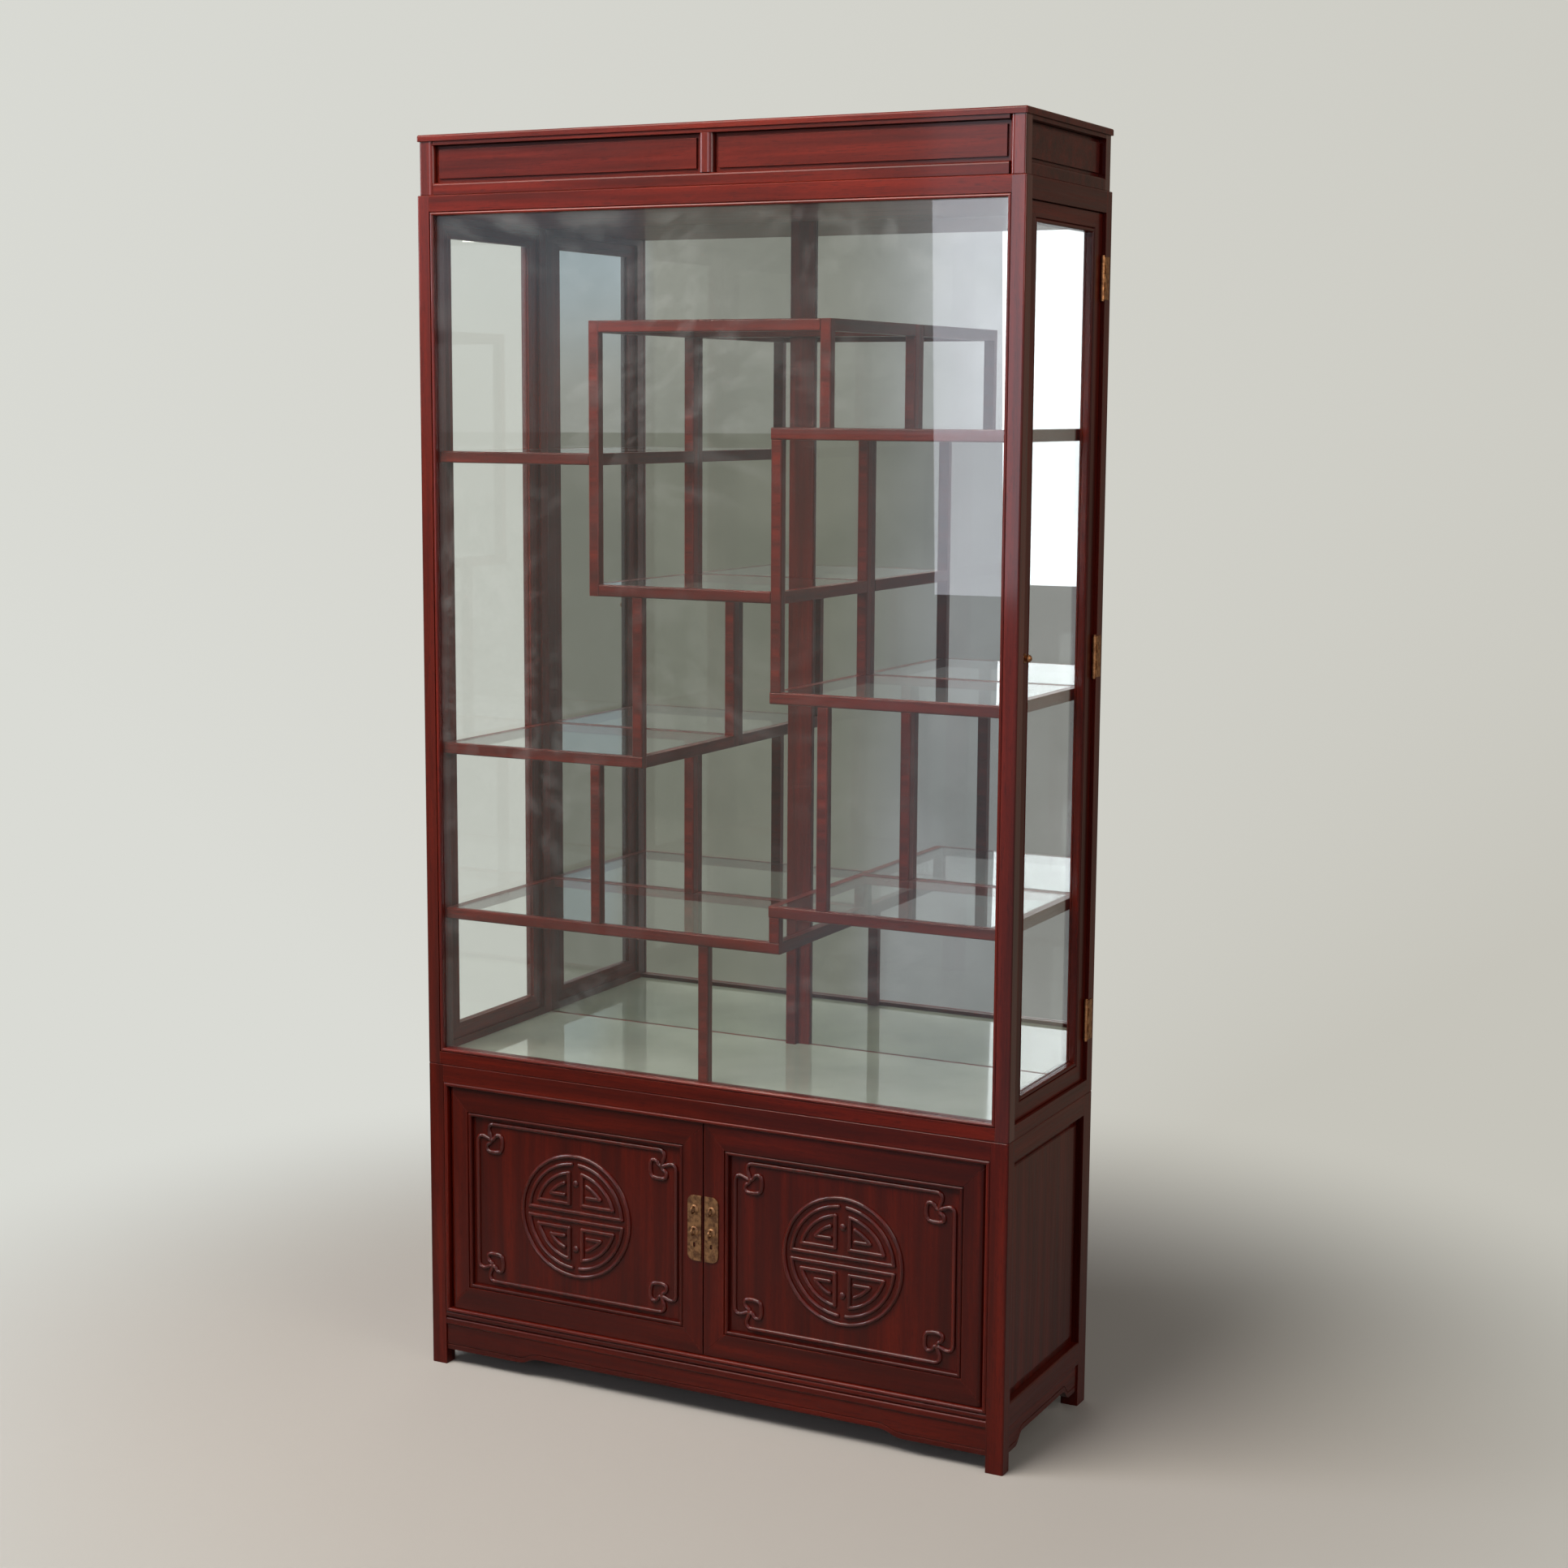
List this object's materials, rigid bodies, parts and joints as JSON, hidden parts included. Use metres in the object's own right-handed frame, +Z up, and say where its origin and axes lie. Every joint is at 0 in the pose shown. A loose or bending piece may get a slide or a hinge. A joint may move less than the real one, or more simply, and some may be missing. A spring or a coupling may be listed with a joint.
{
  "type": "book cabinet",
  "caption": "Rosewood display cabinet with a mirror-backed glazed case of staggered shelves over a cupboard with carved doors.",
  "frame": {"origin": "on the floor, midway between the sides and midway between the lock rings at the front and the back of the posts", "axes": "+X to the right of someone who faces the cabinet, +Y to the back, +Z up"},
  "size_m": [1.027, 0.356, 1.98],
  "materials": {
    "rosewood": "gloss lacquer over stained rosewood",
    "backing_board": "plain stained plywood, matt",
    "clear_glass": "clear float glass",
    "floor_glass": "pale green back-painted glass",
    "mirror": "silvered float glass",
    "brass": "lacquered brass, slightly dulled",
    "magnet": "nickel-plated magnet"
  },
  "bodies": {
    "cabinet": {"base_back_panel": "backing_board", "base_floor_board": "rosewood", "base_front_rails": "rosewood", "base_posts": "rosewood", "base_rear_rails": "rosewood", "base_side_panel_left": "rosewood", "base_side_panel_right": "rosewood", "base_side_rails": "rosewood", "base_top_board": "rosewood", "case_back_board": "backing_board", "case_ceiling": "rosewood", "case_front_posts": "rosewood", "case_front_rails": "rosewood", "case_rear_posts": "rosewood", "case_rear_rails": "rosewood", "case_side_rails": "rosewood", "crown_back_panel": "backing_board", "crown_panels": "rosewood", "crown_posts": "rosewood", "crown_rails": "rosewood", "crown_top_board": "rosewood", "display_floor_board": "rosewood", "display_floor_glass": "floor_glass", "display_floor_strip": "rosewood", "door_magnets": "magnet", "door_opening_bead": "rosewood", "front_apron": "rosewood", "front_glass": "clear_glass", "front_glazing_bead": "rosewood", "hinge_case_leaves": "brass", "hinge_pins": "brass", "lattice_front": "rosewood", "lattice_rear": "rosewood", "mirror_centre_stile": "rosewood", "mirror_panes": "mirror", "pivot_bushes": "brass", "shelf_glass": "clear_glass", "shelf_side_rails": "rosewood", "side_aprons": "rosewood"},
    "cupboard_door_left": {"cupboard_door_left_carving": "rosewood", "cupboard_door_left_frame": "rosewood", "cupboard_door_left_lock_plate": "brass", "cupboard_door_left_panel": "rosewood", "cupboard_door_left_pivot_pins": "brass"},
    "cupboard_door_right": {"cupboard_door_right_carving": "rosewood", "cupboard_door_right_frame": "rosewood", "cupboard_door_right_lock_plate": "brass", "cupboard_door_right_panel": "rosewood", "cupboard_door_right_pivot_pins": "brass"},
    "side_door_left": {"side_door_left_frame": "rosewood", "side_door_left_glass": "clear_glass", "side_door_left_glazing_bead": "rosewood", "side_door_left_hinge_leaves": "brass", "side_door_left_knob": "brass"},
    "side_door_right": {"side_door_right_frame": "rosewood", "side_door_right_glass": "clear_glass", "side_door_right_glazing_bead": "rosewood", "side_door_right_hinge_leaves": "brass", "side_door_right_knob": "brass"}
  },
  "joints": [
    {"name": "cupboard_door_left_hinge", "type": "hinge", "parent": "cabinet", "child": "cupboard_door_left", "pos_m": [-0.462, -0.15395, 0.284], "axis": [0, 0, -1], "range_deg": [0, 90]},
    {"name": "cupboard_door_right_hinge", "type": "hinge", "parent": "cabinet", "child": "cupboard_door_right", "pos_m": [0.462, -0.15395, 0.284], "axis": [0, 0, 1], "range_deg": [0, 90]},
    {"name": "side_door_left_hinge", "type": "hinge", "parent": "cabinet", "child": "side_door_left", "pos_m": [-0.50575, 0.1489, 1.193], "axis": [0, 0, -1], "range_deg": [0, 110]},
    {"name": "side_door_right_hinge", "type": "hinge", "parent": "cabinet", "child": "side_door_right", "pos_m": [0.50575, 0.1489, 1.193], "axis": [0, 0, 1], "range_deg": [0, 110]}
  ]
}
